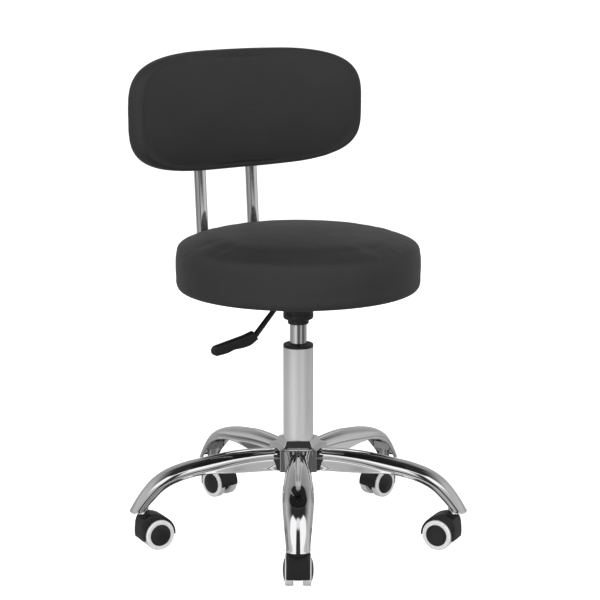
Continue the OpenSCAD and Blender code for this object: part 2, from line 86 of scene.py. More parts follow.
def arc(cx, cy, r, a0, a1, n=6):
    """Points of an arc in a plane, angles in degrees."""
    return [(cx + r * cos(radians(a)), cy + r * sin(radians(a)))
            for a in np.linspace(a0, a1, n)]


def bezier(a, b, c, d, n):
    """A cubic curve from a to d, with b and c as its handles."""
    t = np.linspace(0, 1, n)[:, None]
    a, b, c, d = (np.array(p, float) for p in (a, b, c, d))
    points = a * (1 - t)**3 + 3 * b * t * (1 - t)**2 + 3 * c * t * t * (1 - t) + d * t**3
    return [tuple(p) for p in points]


def even_line(keys, spacing):
    """A smooth line through the keys, with its points about one spacing apart."""
    keys = np.array(keys, float)
    run = run_length(keys)
    n = max(int(run[-1] / spacing), 2)
    return through(np.column_stack([run, keys]), np.linspace(0, run[-1], n + 1))


def run_length(points):
    """How far along the line of points each point lies."""
    return np.concatenate([[0], np.cumsum(np.linalg.norm(np.diff(points, axis=0), axis=1))])


def full_turn(n):
    """Angles evenly spaced round a full turn."""
    return np.linspace(0, 2 * pi, n, endpoint=False)


def grid_faces(rows, cols, wrap_rows=False, wrap_cols=False):
    """The faces between neighbours in a grid of points listed row by row."""
    faces = []
    for i in range(rows if wrap_rows else rows - 1):
        for j in range(cols if wrap_cols else cols - 1):
            a, b = i * cols + j, i * cols + (j + 1) % cols
            c, d = (i + 1) % rows * cols + (j + 1) % cols, (i + 1) % rows * cols + j
            faces.append((a, b, c, d))
    return faces


def ring_bridge(first, second, n):
    """Faces between two rings of n points that start at two places in the list of points."""
    return [(first + (j + 1) % n, first + j, second + j, second + (j + 1) % n) for j in range(n)]


def reversed_faces(faces):
    return [f[::-1] for f in faces]


def lathe(profile, n=96, closed=False):
    """Turns a profile of (radius, height) round the Z axis. A radius of 0 at an end closes it."""
    start = profile[0][0] < 1e-6 and not closed
    end = profile[-1][0] < 1e-6 and not closed
    ring = profile[1 if start else 0: len(profile) - (1 if end else 0)]
    verts = [(r * cos(a), r * sin(a), z) for r, z in ring for a in full_turn(n)]
    faces = grid_faces(len(ring), n, wrap_rows=closed, wrap_cols=True)
    if start:
        verts.append((0, 0, profile[0][1]))
        faces += [(len(verts) - 1, (j + 1) % n, j) for j in range(n)]
    if end:
        verts.append((0, 0, profile[-1][1]))
        last = (len(ring) - 1) * n
        faces += [(len(verts) - 1, last + j, last + (j + 1) % n) for j in range(n)]
    return np.array(verts, float), faces


def loft(rings):
    """Joins closed rings of equally many points, in order, and caps both ends."""
    rows, cols = len(rings), len(rings[0])
    verts = np.array([p for ring in rings for p in ring], float)
    faces = grid_faces(rows, cols, wrap_cols=True)
    faces.append(tuple(range(cols))[::-1])
    faces.append(tuple((rows - 1) * cols + j for j in range(cols)))
    return verts, faces


def fillet(points, radius, n=8):
    """A line of points with each inner corner rounded to an arc."""
    points = [Vector(p) for p in points]
    out = [points[0]]
    for a, b, c in zip(points, points[1:], points[2:]):
        u, v = (a - b).normalized(), (c - b).normalized()
        half = u.angle(v) / 2
        reach = radius / tan(half)
        centre = b + (u + v).normalized() * (radius / sin(half))
        p, q = b + u * reach - centre, b + v * reach - centre
        whole = p.angle(q)
        for t in np.linspace(0, 1, n):
            spoke = p * sin((1 - t) * whole) + q * sin(t * whole)
            out.append(centre + spoke / sin(whole))
    out.append(points[-1])
    return out


def sweep(points, radii, n=32):
    """A round bar along a line of points; radii is one radius or one for each point."""
    points = [Vector(p) for p in points]
    radii = np.broadcast_to(radii, len(points))
    side = None
    rings = []
    for i, p in enumerate(points):
        along = (points[min(i + 1, len(points) - 1)] - points[max(i - 1, 0)]).normalized()
        if side is None:
            side = along.orthogonal().normalized()
        side = (side - along * side.dot(along)).normalized()
        up = along.cross(side)
        rings.append([p + (side * cos(a) + up * sin(a)) * radii[i]
                      for a in full_turn(n)])
    return loft(rings)


def join(*parts):
    """Several (vertices, faces) as one."""
    verts, faces, base = [], [], 0
    for v, f in parts:
        verts.append(np.asarray(v, float))
        faces += [tuple(i + base for i in face) for face in f]
        base += len(v)
    return np.concatenate(verts), faces


def moved(part, matrix):
    """A part carried by a matrix; a mirroring matrix also turns its faces over."""
    verts, faces = part
    m = np.array(matrix)
    verts = verts @ m[:3, :3].T + m[:3, 3]
    if np.linalg.det(m[:3, :3]) < 0:
        faces = reversed_faces(faces)
    return verts, faces


def at(x, y, z, *turns):
    """A matrix: the turns, (degrees, axis) each, last one first, then a move to a point."""
    m = Matrix.Translation((x, y, z))
    for degrees, axis in turns:
        m = m @ Matrix.Rotation(radians(degrees), 4, axis)
    return m


def add_object(name, data):
    obj = bpy.data.objects.new(name, data)
    SCENE.collection.objects.link(obj)
    return obj


def mesh_object(name, verts, faces):
    """A mesh object from points in millimetres."""
    mesh = bpy.data.meshes.new(name)
    mesh.from_pydata([tuple(v * MM) for v in verts], [], faces)
    return add_object(name, mesh)


def build(name, part, body, slot, replaces=(), sharp=38, bevel=0):
    """Makes a visible piece, rides it on a CAD body and hides the CAD nodes it stands for."""
    obj = mesh_object(name, *part)
    mesh = obj.data
    mesh.validate()
    mesh.polygons.foreach_set("use_smooth", [True] * len(mesh.polygons))
    if sharp:
        mesh.set_sharp_from_angle(angle=radians(sharp))
    if bevel:
        edges = obj.modifiers.new("edges", "BEVEL")
        edges.width, edges.segments = bevel * MM, 3
        edges.limit_method, edges.angle_limit = "ANGLE", radians(32)
        edges.harden_normals = True
    mesh.materials.append(MATERIALS[slot])
    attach(obj, body)
    if replaces:
        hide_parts(*replaces)
    return obj


# --- Materials ---

class Paint:
    """A Principled material with object-space noise for its colour, roughness and relief."""

    def __init__(self, name, color, metallic=0.0, roughness=0.5, **sockets):
        self.mat = bpy.data.materials.new(name)
        self.mat.use_nodes = True
        self.nodes, self.links = self.mat.node_tree.nodes, self.mat.node_tree.links
        self.shader = self.nodes["Principled BSDF"]
        self.color = color
        self.shader.inputs["Base Color"].default_value = (*color, 1)
        self.shader.inputs["Metallic"].default_value = metallic
        self.shader.inputs["Roughness"].default_value = roughness
        for key, value in sockets.items():
            self.shader.inputs[key.replace("_", " ")].default_value = value
        self.place = self.nodes.new("ShaderNodeTexCoord").outputs["Object"]
        self.relief = None

    def node(self, kind, socket, source, **values):
        """A new node with one socket linked to a source and others set to values."""
        node = self.nodes.new("ShaderNode" + kind)
        for key, value in values.items():
            node.inputs[key.replace("_", " ")].default_value = value
        self.links.new(source, node.inputs[socket])
        return node

    def stretched(self, x, y, z):
        return self.node("Mapping", "Vector", self.place, Scale=(x, y, z)).outputs["Vector"]

    def noise(self, scale, detail, rough=0.55, place=None):
        return self.node("TexNoise", "Vector", place or self.place, Scale=scale, Detail=detail,
                         Roughness=rough).outputs["Fac"]

    def cells(self, scale):
        node = self.node("TexVoronoi", "Vector", self.place, Scale=scale)
        node.feature = "DISTANCE_TO_EDGE"
        return node.outputs["Distance"]

    def ranged(self, value, low, high, from_low, from_high):
        return self.node("MapRange", "Value", value, From_Min=from_low, From_Max=from_high, To_Min=low,
                         To_Max=high).outputs["Result"]

    def vary_color(self, value, dark, light, from_low=0.3, from_high=0.7):
        ramp = self.node("ValToRGB", "Fac", value)
        ends = ((from_low, dark), (from_high, light))
        for element, (place, factor) in zip(ramp.color_ramp.elements, ends):
            element.position = place
            element.color = (*[min(c * factor, 1) for c in self.color], 1)
        self.links.new(ramp.outputs["Color"], self.shader.inputs["Base Color"])

    def vary_roughness(self, value, low, high):
        self.links.new(self.ranged(value, low, high, 0.3, 0.7), self.shader.inputs["Roughness"])

    def bump(self, value, depth_mm, strength):
        """Adds relief on top of any that is there."""
        node = self.node("Bump", "Height", value, Strength=strength, Distance=depth_mm * MM)
        if self.relief is not None:
            self.links.new(self.relief, node.inputs["Normal"])
        self.relief = node.outputs["Normal"]
        self.links.new(self.relief, self.shader.inputs["Normal"])


def leatherette():
    p = Paint("leatherette", (0.033, 0.033, 0.0348), roughness=0.50, Specular_IOR_Level=0.24,
              Sheen_Weight=0.03, Sheen_Roughness=0.4)
    p.vary_color(p.noise(14, 4), 0.95, 1.06)
    p.vary_roughness(p.noise(60, 4), 0.48, 0.53)
    p.bump(p.ranged(p.cells(780), 0, 1, 0.0, 0.28), 0.10, 0.55)
    p.bump(p.noise(2600, 2), 0.03, 0.4)
    p.bump(p.noise(26, 2), 0.25, 0.2)
    return p.mat


def polished_chrome():
    p = Paint("polished_chrome", (0.80, 0.80, 0.81), metallic=1.0, roughness=0.06)
    p.vary_roughness(p.noise(35, 4), 0.035, 0.085)
    p.bump(p.noise(9, 2), 0.25, 0.12)
    return p.mat


def satin_column():
    p = Paint("satin_column", (0.84, 0.84, 0.84), metallic=0.52, roughness=0.30)
    p.vary_roughness(p.noise(14, 2, place=p.stretched(12, 12, 0.4)), 0.28, 0.33)
    p.vary_color(p.noise(12, 2, place=p.stretched(16, 16, 0.25)), 0.985, 1.015)
    p.bump(p.noise(600, 2), 0.004, 0.1)
    return p.mat


def plywood():
    p = Paint("plywood", (0.030, 0.027, 0.025), roughness=0.62)
    grain = p.noise(24, 5, 0.6, place=p.stretched(1, 9, 9))
    p.vary_color(grain, 0.72, 1.14, 0.25, 0.75)
    p.vary_roughness(grain, 0.55, 0.72)
    p.bump(grain, 0.15, 0.4)
    return p.mat


def grained(name, color, roughness, rough, tone, relief, metallic=0.0, specular=0.5):
    """A plain surface with fine noise in it: rough is (scale, low, high), tone is (scale, detail,
    dark, light) and relief is (scale, depth in mm, strength)."""
    p = Paint(name, color, metallic, roughness, Specular_IOR_Level=specular)
    p.vary_roughness(p.noise(rough[0], 3), *rough[1:])
    p.vary_color(p.noise(*tone[:2]), *tone[2:])
    p.bump(p.noise(relief[0], 2), *relief[1:])
    return p.mat


MATERIALS = {
    "leatherette": leatherette(),
    "polished_chrome": polished_chrome(),
    "satin_column": satin_column(),
    "plywood": plywood(),
}
for name, look in {
    "plain_steel": dict(
        color=(0.56, 0.56, 0.57), roughness=0.32, metallic=1.0,
        rough=(220, 0.24, 0.42), tone=(90, 3, 0.88, 1.05), relief=(900, 0.02, 0.3)),
    "black_plastic": dict(
        color=(0.013, 0.013, 0.014), roughness=0.42, specular=0.45,
        rough=(70, 0.36, 0.5), tone=(24, 3, 0.85, 1.2), relief=(1500, 0.03, 0.35)),
    "black_wheel": dict(
        color=(0.016, 0.016, 0.017), roughness=0.34, specular=0.45,
        rough=(120, 0.28, 0.44), tone=(40, 3, 0.85, 1.2), relief=(1800, 0.02, 0.3)),
    "black_paint": dict(
        color=(0.016, 0.016, 0.016), roughness=0.36,
        rough=(300, 0.30, 0.44), tone=(50, 3, 0.85, 1.25), relief=(700, 0.05, 0.35)),
    "white_tyre": dict(
        color=(0.86, 0.86, 0.85), roughness=0.48,
        rough=(150, 0.42, 0.58), tone=(55, 4, 0.95, 1.03), relief=(1200, 0.03, 0.3)),
}.items():
    MATERIALS[name] = grained(name, **look)


# --- Camera and light ---

def add_camera():
    data = bpy.data.cameras.new("camera")
    data.sensor_width = 36
    data.lens = 103.4
    data.clip_end = 200
    camera = add_object("camera", data)
    pitch = radians(11.8)
    away, aside, height = 2.765, 0.0028, 0.9766
    camera.location = RIGHT * aside - AHEAD * away + Vector((0, 0, height))
    look = AHEAD * cos(pitch) - Vector((0, 0, sin(pitch)))
    camera.rotation_euler = look.to_track_quat("-Z", "Y").to_euler()
    SCENE.camera = camera


def add_floor():
    half = 60 / MM
    corners = np.array([(-half, -half, 0), (half, -half, 0), (half, half, 0), (-half, half, 0)])
    floor = mesh_object("floor", corners, [(0, 1, 2, 3)])
    p = Paint("floor", (0.80, 0.80, 0.80), roughness=0.9, Specular_IOR_Level=0.1)
    p.shader.inputs["Emission Color"].default_value = (1, 1, 1, 1)
    p.shader.inputs["Emission Strength"].default_value = 0.86
    p.vary_color(p.noise(3, 2), 0.99, 1.01)
    floor.data.materials.append(p.mat)
    # the chrome mirrors the grey studio, not the lit white floor
    floor.visible_glossy = False
    floor.visible_diffuse = False


def add_studio():
    """White to the camera. The object mirrors a room: softboxes at either side of the camera with
    a bar above it, pale side walls, a grey back wall and a dark ceiling. From just above the
    horizon down come the bands that show in the tubes and the legs, then the ground."""
    world = bpy.data.worlds.new("studio")
    SCENE.world = world
    world.use_nodes = True
    nodes, links = world.node_tree.nodes, world.node_tree.links

    def calculate(kind, *values):
        node = nodes.new("ShaderNodeVectorMath" if kind == "DOT_PRODUCT" else "ShaderNodeMath")
        node.operation = kind
        for socket, value in zip(node.inputs, values):
            if isinstance(value, tuple):
                socket.default_value = value
            else:
                links.new(value, socket)
        return node.outputs["Value"]

    def ramp(angle, stops):
        """Grey for an angle from -180 to 180 degrees."""
        to_unit = nodes.new("ShaderNodeMapRange")
        to_unit.inputs["From Min"].default_value = -pi
        to_unit.inputs["From Max"].default_value = pi
        links.new(angle, to_unit.inputs["Value"])
        node = nodes.new("ShaderNodeValToRGB")
        elements = node.color_ramp.elements
        while len(elements) < len(stops):
            elements.new(0.5)
        for element, (degrees, grey) in zip(elements, stops):
            element.position = (degrees + 180) / 360
            element.color = (grey, grey, grey, 1)
        links.new(to_unit.outputs["Result"], node.inputs["Fac"])
        return node.outputs["Color"]

    def blend(share, first, second):
        node = nodes.new("ShaderNodeMix")
        node.data_type = "RGBA"
        links.new(share, node.inputs["Factor"])
        links.new(first, node.inputs[6])
        links.new(second, node.inputs[7])
        return node.outputs[2]

    coords = nodes.new("ShaderNodeTexCoord").outputs["Generated"]
    aside = calculate("DOT_PRODUCT", coords, tuple(RIGHT))
    towards = calculate("DOT_PRODUCT", coords, tuple(-AHEAD))
    split = nodes.new("ShaderNodeSeparateXYZ")
    links.new(coords, split.inputs[0])
    up = calculate("ARCSINE", split.outputs["Z"])
    # angles of a direction: above the horizon, and round from the camera, with and without sign
    around = calculate("ARCTAN2", aside, towards)
    off = calculate("ABSOLUTE", around)
    above_camera = ramp(up, ((20, 0.05), (58, 0.03), (62, 0.9), (71, 0.9), (75, 0.03)))
    boxes = ramp(up, ((14, 0.50), (31, 0.55), (37, 1.15), (66, 1.15), (71, 0.03)))
    walls = ramp(up, ((10, 0.60), (34, 0.52), (50, 0.25), (64, 0.03)))
    back = ramp(up, ((0, 0.48), (16, 0.40), (34, 0.30), (46, 0.03)))
    room = above_camera
    for start, end, wall in ((12, 16, boxes), (68, 78, walls), (125, 150, back)):
        room = blend(ramp(off, ((start, 0), (end, 1))), room, wall)
    dusk = ramp(around, (
        (-180, 0.44), (-125, 0.38), (-98, 0.12), (-86, 0.14), (-70, 0.40), (-50, 0.13), (-32, 0.03),
        (32, 0.03), (48, 0.13), (60, 0.45), (70, 0.56), (95, 0.62), (125, 0.44), (180, 0.44)))
    level = ramp(around, (
        (-180, 0.44), (-125, 0.42), (-100, 0.14), (-84, 0.16), (-70, 0.40), (-50, 0.34), (-34, 0.42),
        (-22, 0.10), (-13, 0.12), (-7, 0.45), (12, 0.72), (32, 0.78), (48, 0.50), (72, 0.56),
        (95, 0.68), (125, 0.44), (180, 0.44)))
    low = ramp(around, (
        (-180, 0.40), (-119, 0.36), (-97, 0.28), (-78, 0.36), (-62, 0.48), (-47, 0.62), (-30, 0.78),
        (-20, 0.55), (-10, 0.14), (10, 0.09), (20, 0.13), (29, 0.40), (47, 0.42), (56, 0.12),
        (80, 0.10), (97, 0.26), (119, 0.36), (180, 0.40)))
    ground = ramp(up, ((-90, 0.24), (-40, 0.32)))
    for end, start, band in ((9, 15, dusk), (-2.5, -2.0, level), (-10, -7, low), (-50, -32, ground)):
        room = blend(ramp(up, ((end, 1), (start, 0))), room, band)
    white = nodes.new("ShaderNodeRGB").outputs[0]
    white.default_value = (1, 1, 1, 1)
    seen = blend(nodes.new("ShaderNodeLightPath").outputs["Is Camera Ray"], room, white)
    links.new(seen, nodes["Background"].inputs["Color"])


def add_lights():
    """Soft light for the matt surfaces; the chrome mirrors the room, not these lamps."""
    middle = Vector((0, 0, 0.45))
    # metres along RIGHT, along AHEAD and up, and power in watts
    lamps = {"left": (-1.9, -1.7, 1.3, 23), "right": (1.8, -1.8, 1.3, 18), "top": (0, 0, 2.8, 4),
             "rear": (0.2, 2.2, 1.6, 12), "low": (0, -2.3, 0.3, 19)}
    for name, (x, y, z, power) in lamps.items():
        data = bpy.data.lights.new(name, "AREA")
        data.energy = power
        data.shape = "SQUARE"
        data.size = 1.6
        lamp = add_object(name, data)
        lamp.location = RIGHT * x + AHEAD * y + Vector((0, 0, z))
        lamp.rotation_euler = (middle - lamp.location).to_track_quat("-Z", "Y").to_euler()
        lamp.visible_glossy = False


add_camera()
add_floor()
add_studio()
add_lights()
SCENE.view_settings.view_transform = "Standard"

for node, obj in frame["nodes"].items():
    slot_name = next(s["material_slot"] for s in frame["record"]["subparts"] if s["node"] == node)
    obj.data.materials.clear()
    obj.data.materials.append(MATERIALS[slot_name])


# --- Padding: a cloth simulation inflates a rough copy, and the finished mesh follows it ---

CLOTH_VOXEL = 6.0       # mesh size of the simulated copy
CLOTH_PRESSURE = 4.0
CLOTH_FRAMES = 20
PUFF = 4.0              # no point is carried further than this
NEIGHBOURS = 22         # simulated points that each finished point follows
NEIGHBOUR_SPREAD = 60   # square mm added to a neighbour's squared distance in its weight


def inflate(part, pinned):
    """Blows up a remeshed copy of a closed shape. Gives its rest points and how far each moved."""
    rough = mesh_object("rough", *part)
    remesh = rough.modifiers.new("remesh", "REMESH")
    remesh.mode, remesh.voxel_size = "VOXEL", CLOTH_VOXEL * MM
    bpy.context.view_layer.update()
    graph = bpy.context.evaluated_depsgraph_get()
    even = bpy.data.meshes.new_from_object(rough.evaluated_get(graph))
    bpy.data.objects.remove(rough)
    pad = add_object("pad", even)
    rest = np.array([v.co for v in even.vertices]) / MM
    group = pad.vertex_groups.new(name="pinned")
    for i, weight in enumerate(pinned(rest)):
        if weight > 0:
            group.add([i], float(weight), "REPLACE")
    cloth = pad.modifiers.new("cloth", "CLOTH").settings
    cloth.quality = 5
    cloth.mass = 0.3
    cloth.tension_stiffness = cloth.compression_stiffness = 15
    cloth.shear_stiffness = 8
    cloth.bending_stiffness = 1.5
    cloth.vertex_group_mass = "pinned"
    cloth.use_pressure = True
    cloth.uniform_pressure_force = CLOTH_PRESSURE
    cloth.effector_weights.gravity = 0
    for frame_number in range(1, CLOTH_FRAMES + 1):
        SCENE.frame_set(frame_number)
    done = pad.evaluated_get(bpy.context.evaluated_depsgraph_get()).to_mesh()
    shift = np.array([v.co for v in done.vertices]) / MM - rest
    SCENE.frame_set(1)
    bpy.data.objects.remove(pad)
    length = np.linalg.norm(shift, axis=1)
    return rest, shift * (PUFF * np.tanh(length / PUFF) / np.maximum(length, 1e-6))[:, None]


def follow(points, rest, shift):
    """Moves points as the simulated points near them moved."""
    tree = kdtree.KDTree(len(rest))
    for i, p in enumerate(rest):
        tree.insert(p, i)
    tree.balance()
    out = np.array(points, float)
    for i, p in enumerate(points):
        near = tree.find_n(p, NEIGHBOURS)
        weights = np.array([1 / (d * d + NEIGHBOUR_SPREAD) for _, _, d in near])
        out[i] += (shift[[k for _, k, _ in near]] * weights[:, None]).sum(0) / weights.sum()
    return out


def ripple(points, size, seed):
    """Smooth noise for each point, about -1 to 1, with features of a size in millimetres."""
    offset = Vector((seed * 7.1, seed * 3.3, seed * 5.7))
    return np.array([noise.noise(Vector(p) / size + offset) for p in points])


# --- Seat ---

seat_low, seat_high = cad_box("seat_cushion")
board_high = cad_box("seat_board")[1]
SEAT_R = (seat_high.x - seat_low.x) / 2
SEAT_Z0, SEAT_Z1 = seat_low.z, seat_high.z
BOARD_R, BOARD_TOP = board_high.x + 0.4, board_high.z + 0.3
SEAM_R, SEAM_Z = SEAT_R - 3.0, SEAT_Z1 - 24
CROWN_Z = SEAT_Z1 - 2
HEM_R = BOARD_R - 22


def seat_outer(spacing):
    """The cover's outside as (radius, height): its side up to the seam, then its crown."""
    side = [(SEAT_R - 15, SEAT_Z0 - 1.2), *arc(SEAT_R - 11.2, SEAT_Z0 + 8.6, 10, -80, -14, 5),
            (SEAT_R - 0.5, SEAT_Z0 + 22), (SEAT_R, SEAT_Z0 + 37), (SEAT_R - 0.6, SEAT_Z0 + 52),
            (SEAM_R, SEAM_Z)]
    crown = [(SEAM_R, SEAM_Z), (SEAM_R - 4.5, SEAM_Z + 5.5), (SEAM_R - 15, SEAM_Z + 11.5),
             (SEAM_R - 40, SEAM_Z + 16.5), (SEAM_R - 85, SEAM_Z + 19.5), (60, CROWN_Z - 0.5),
             (0, CROWN_Z)]
    return even_line(side, spacing), even_line(crown, spacing)


def seat_pinned(points):
    r = np.hypot(points[:, 0], points[:, 1])
    bottom = points[:, 2] < SEAT_Z0 + 8
    seam = np.hypot(r - SEAM_R, points[:, 2] - SEAM_Z)
    return np.where(bottom, 1.0, np.where(seam < 4, 0.85, 0.0))


def build_seat():
    """The cover, turned under at its hem, with a pocket for the board inside."""
    segments = 288
    top = (0, CROWN_Z)
    side, crown = seat_outer(2.2)
    under = [(HEM_R, SEAT_Z0 + 0.3), (HEM_R - 0.4, SEAT_Z0 - 0.4), (HEM_R + 0.6, SEAT_Z0 - 0.9),
             *[(r, SEAT_Z0 - 0.9) for r in np.arange(HEM_R + 4, SEAT_R - 17, 4)]]
    seam = [(SEAM_R - 0.25 + 0.5 * t, SEAM_Z + 3 * t) for t in (-0.3, 0.0, 0.3)]
    outline = [*under, *side[:-1], *seam, *crown[1:-1]]
    pocket = [(BOARD_R, SEAT_Z0 + 0.3), (BOARD_R, BOARD_TOP), (0, BOARD_TOP)]
    pocket_verts, pocket_faces = lathe(pocket, segments)
    verts, faces = join(lathe(outline + [top], segments), (pocket_verts, reversed_faces(pocket_faces)))
    faces += ring_bridge(0, len(outline) * segments + 1, segments)
    bottom = [(0, SEAT_Z0 + 1), (SEAT_R - 24, SEAT_Z0 + 1)]
    rough = lathe([*bottom, *side[::2], *crown[1:-1:2], top], 120)
    puffed = follow(verts, *inflate(rough, seat_pinned))
    low = verts[:, 2] < SEAT_Z0 + 3
    verts = np.where(low[:, None], verts, puffed)
    obj = build("seat_cushion_cover", (seat_details(verts), faces), "seat", "leatherette",
                replaces=["seat_cushion"], sharp=0)


def seat_details(verts):
    """Pulls the seam in, puckers the leatherette beside it and pleats the turned-under edge."""
    r = np.hypot(verts[:, 0], verts[:, 1])
    turn = np.arctan2(verts[:, 1], verts[:, 0])
    out = verts[:, :2] / np.maximum(r, 1e-6)[:, None]
    away = np.hypot(r - SEAM_R, verts[:, 2] - SEAM_Z)
    groove = np.exp(-(away / 1.4) ** 2) * 0.8
    pucker_mix = np.exp(-(away / 11) ** 2) * (0.45 + 0.55 * ripple(verts, 45, 1))
    pucker = np.sin(turn * 96 + 2.2 * np.sin(turn * 7)) * pucker_mix * 0.14
    soft = ripple(verts, 80, 2) * 0.25 + ripple(verts, 30, 3) * 0.06
    visible = (verts[:, 2] > SEAT_Z0 + 3) & ((r > BOARD_R + 1) | (verts[:, 2] > BOARD_TOP + 4))
    upright = blend01((r - (SEAM_R - 16)) / 14)
    lift = np.where(visible, -groove * 0.5 + (pucker + soft) * (1 - 0.8 * upright), 0)
    push = np.where(visible, -groove + (pucker + soft) * upright, 0)
    hem = (verts[:, 2] < SEAT_Z0) & (r > HEM_R - 1)
    pleat = 0.5 * (1 + np.sin(turn * 64 + 1.7 * np.sin(turn * 5))) * blend01((SEAT_R - 14 - r) / 14)
    lift = lift - np.where(hem, pleat * 0.5, 0)
    verts = verts.copy()
    verts[:, :2] += out * push[:, None]
    verts[:, 2] += lift
    return verts


# --- Backrest ---

back_low, back_high = cad_box("back_cushion")
BACK_CURVE = 700.0
BACK_T, BACK_EDGE_T = 60.0, 31.0
BACK_Y = back_high.y - BACK_T / 2
BACK_Z = (back_low.z + back_high.z) / 2
BACK_HALF_H = (back_high.z - back_low.z) / 2
BACK_HALF_W = 233.0
BACK_POWER = 3.5
SEAM_INSET = 9.5


def back_outline(inset, n):
    """The backrest's outline, flat: a superellipse as (along the curve, height)."""
    c, s = np.cos(full_turn(n)), np.sin(full_turn(n))
    w, h = BACK_HALF_W - inset, BACK_HALF_H - inset
    r = (np.abs(c / w) ** BACK_POWER + np.abs(s / h) ** BACK_POWER) ** (-1 / BACK_POWER)
    return np.column_stack([r * c, r * s])


def wrap_back(flat):
    """Bends flat points (along, height, outwards from the middle) round the backrest's curve."""
    turn = flat[:, 0] / BACK_CURVE
    radius = BACK_CURVE + flat[:, 2]
    return np.column_stack([radius * np.sin(turn), BACK_Y - BACK_CURVE + radius * np.cos(turn),
                            BACK_Z + flat[:, 1]])


def back_rings(n, panel_rings, band_rings):
    """Flat rings from the middle of the front, round the edge, to the middle of the back."""
    half_edge, half = BACK_EDGE_T / 2, BACK_T / 2
    seam_front, seam_back = back_outline(SEAM_INSET, n), back_outline(SEAM_INSET - 2, n)
    rings = [(seam_front * k, -(half_edge - 1) - (half - half_edge) * (1 - k ** 3.2))
             for k in np.linspace(0.02, 1, panel_rings)]
    for t in np.linspace(0, 1, band_rings)[1:-1]:
        a = pi * (t - 0.5)
        inset = SEAM_INSET * (1 - abs(cos(a)) ** 0.7)
        rings.append((back_outline(inset, n), half_edge * sin(a)))
    rings += [(seam_back * k, (half_edge - 1) + (half - half_edge) * (1 - k ** 4))
              for k in np.linspace(1, 0.02, panel_rings)]
    return [np.column_stack([outline, np.full(n, depth)]) for outline, depth in rings]


def build_back():
    n = 320
    rings = back_rings(n, 46, 18)
    faces = grid_faces(len(rings), n, wrap_cols=True)
    front, rear = len(rings) * n, len(rings) * n + 1
    last_ring = front - n
    faces += [(front, (j + 1) % n, j) for j in range(n)]
    faces += [(rear, last_ring + j, last_ring + (j + 1) % n) for j in range(n)]
    flat = np.concatenate([*rings, [[0, 0, -BACK_T / 2], [0, 0, BACK_T / 2]]])
    verts = wrap_back(flat)
    rough = loft([wrap_back(r) for r in back_rings(120, 14, 9)])
    verts = follow(verts, *inflate(rough, back_pinned))
    obj = build("back_cushion_cover", (back_details(verts, flat), faces), "seat", "leatherette",
                replaces=["back_cushion"], sharp=0)


def unwrap_back(points):
    """The reverse of wrap_back."""
    y = points[:, 1] - (BACK_Y - BACK_CURVE)
    return np.column_stack([np.arctan2(points[:, 0], y) * BACK_CURVE, points[:, 2] - BACK_Z,
                            np.hypot(points[:, 0], y) - BACK_CURVE])


def back_edge_distance(flat):
    """How far a point lies inside the outline, along the line to the middle."""
    w, h = BACK_HALF_W, BACK_HALF_H
    level = np.abs(flat[:, 0] / w) ** BACK_POWER + np.abs(flat[:, 1] / h) ** BACK_POWER
    level = level ** (1 / BACK_POWER)
    return (1 - level) * np.hypot(flat[:, 0], flat[:, 1]) / np.maximum(level, 1e-3)


def back_pinned(points):
    flat = unwrap_back(points)
    inside = back_edge_distance(flat)
    rear = (flat[:, 2] > BACK_T / 2 - 5) & (inside > 30)
    seam = (np.abs(inside - SEAM_INSET) < 4) & (np.abs(flat[:, 2]) > BACK_EDGE_T / 2 - 5)
    return np.where(rear, 1.0, np.where(seam, 0.8, 0.0))


def back_details(verts, flat):
    """Seams pulled in on both faces, puckers beside them and soft creases at the lower corners."""
    inside = back_edge_distance(flat)
    front = flat[:, 2] < 0
    seam_at = np.where(front, SEAM_INSET, SEAM_INSET - 2)
    near_face = np.abs(flat[:, 2]) > BACK_EDGE_T / 2 - 6
    away = np.where(near_face, np.abs(inside - seam_at), 99)
    groove = np.exp(-(away / 1.7) ** 2) * 1.8
    welt = np.where(near_face, np.exp(-((inside - seam_at - 3.6) / 1.7) ** 2) * 0.9, 0)
    turn = np.arctan2(flat[:, 1], flat[:, 0] * BACK_HALF_H / BACK_HALF_W)
    pucker = (np.sin(turn * 110 + 2 * np.sin(turn * 6)) * np.exp(-(away / 12) ** 2)
              * (0.4 + 0.6 * ripple(verts, 40, 4)) * 0.3)
    soft = ripple(verts, 70, 5) * 0.6 + ripple(verts, 28, 6) * 0.15
    crease = np.zeros(len(flat))
    for side in (-1, 1):
        for along, up, tilt, deep in ((196, -62, 50, 1.9), (176, -70, 38, 1.5), (205, -42, 66, 1.1)):
            dx, dz = flat[:, 0] * side - along, flat[:, 1] - up
            c, s = cos(radians(tilt)), sin(radians(tilt))
            across, down = -dx * s + dz * c, dx * c + dz * s
            crease -= np.exp(-(across / 4.5) ** 2 - (down / 26) ** 2) * deep
    crease = np.where(front, crease, 0)
    move = soft + pucker + crease + welt - groove
    rear_rest = (~front) & (inside > 40)
    move = np.where(rear_rest, np.minimum(move, 0) * 0.3, move)
    # each point moves away from a smaller outline on the middle surface
    shrink = 0.94 * (1 - SEAM_INSET / 60)
    outwards = verts - wrap_back(np.column_stack([flat[:, :2] * shrink, np.zeros(len(flat))]))
    outwards /= np.maximum(np.linalg.norm(outwards, axis=1), 1e-6)[:, None]
    return verts + outwards * move[:, None]


build_seat()
build_back()


# --- Base ---

hub_low, hub_high = cad_box("base_hub")
column_low, column_high = cad_box("column_tube")
COLUMN_R = (column_high.x - column_low.x) / 2
HUB_R = 41.0
HUB_Z0, HUB_Z1 = hub_low.z, hub_high.z

